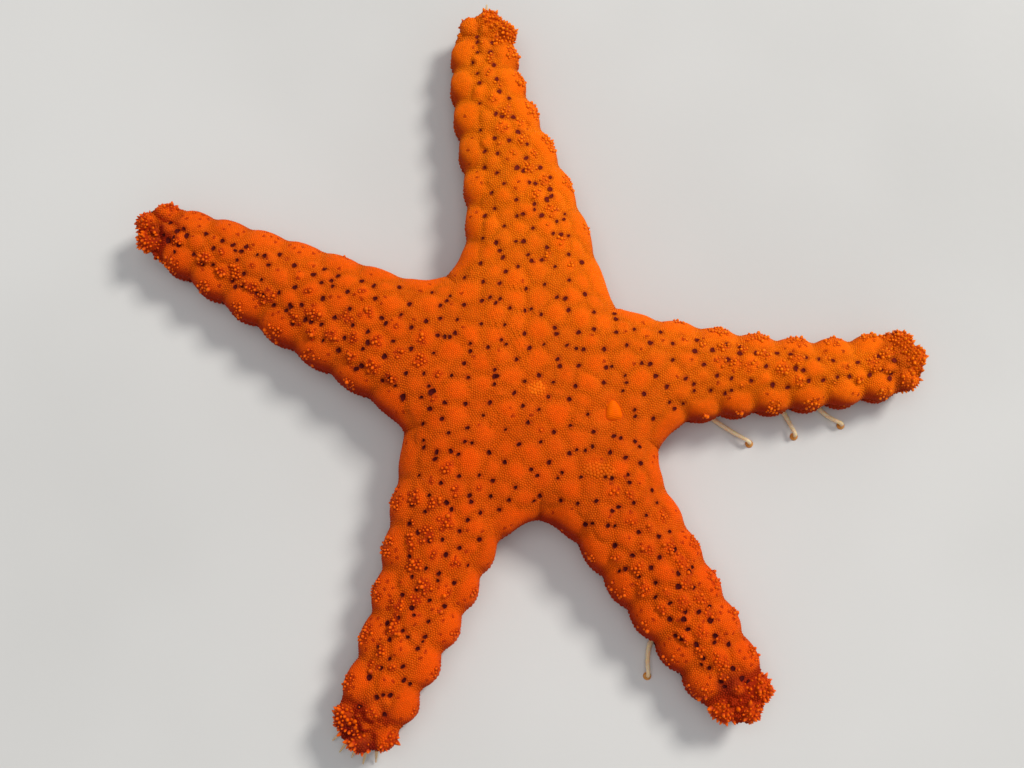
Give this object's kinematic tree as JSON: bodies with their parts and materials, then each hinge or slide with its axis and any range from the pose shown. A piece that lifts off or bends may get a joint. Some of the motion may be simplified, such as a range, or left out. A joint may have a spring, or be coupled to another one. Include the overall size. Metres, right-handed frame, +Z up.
{
  "type": "sea star",
  "caption": "Life-size sea star at rest on its underside: a low domed disc, blunt tapering arms edged with rows of marginal plates, sieve plate and reaching tube feet.",
  "frame": {"origin": "centre of the footprint of the bounding box, on the surface that the animal lies on", "axes": "+Z up, away from the ground; +X along the widest spread of the arms, towards arm C; +Y towards the tip of arm B"},
  "size_m": [0.0965, 0.0913, 0.0097],
  "materials": {
    "skin": "matt granular skin, saturated orange-red on the plates and browner between them, with dark maroon pores",
    "terminal_skin": "coarser granular skin, orange-red cones over dark red",
    "madreporite": "smooth hard plate with fine grooves, bright yellow-orange",
    "tube_foot": "wet translucent amber tube with an orange-brown sucker"
  },
  "bodies": {
    "root": {"disc": "skin", "arm_a": "skin", "arm_b": "skin", "arm_c": "skin", "arm_d": "skin", "arm_e": "skin", "terminal_a": "terminal_skin", "terminal_b": "terminal_skin", "terminal_c": "terminal_skin", "terminal_d": "terminal_skin", "terminal_e": "terminal_skin", "madreporite": "madreporite", "tube_foot_1": "tube_foot", "tube_foot_2": "tube_foot", "tube_foot_3": "tube_foot", "tube_foot_4": "tube_foot"}
  },
  "joints": []
}
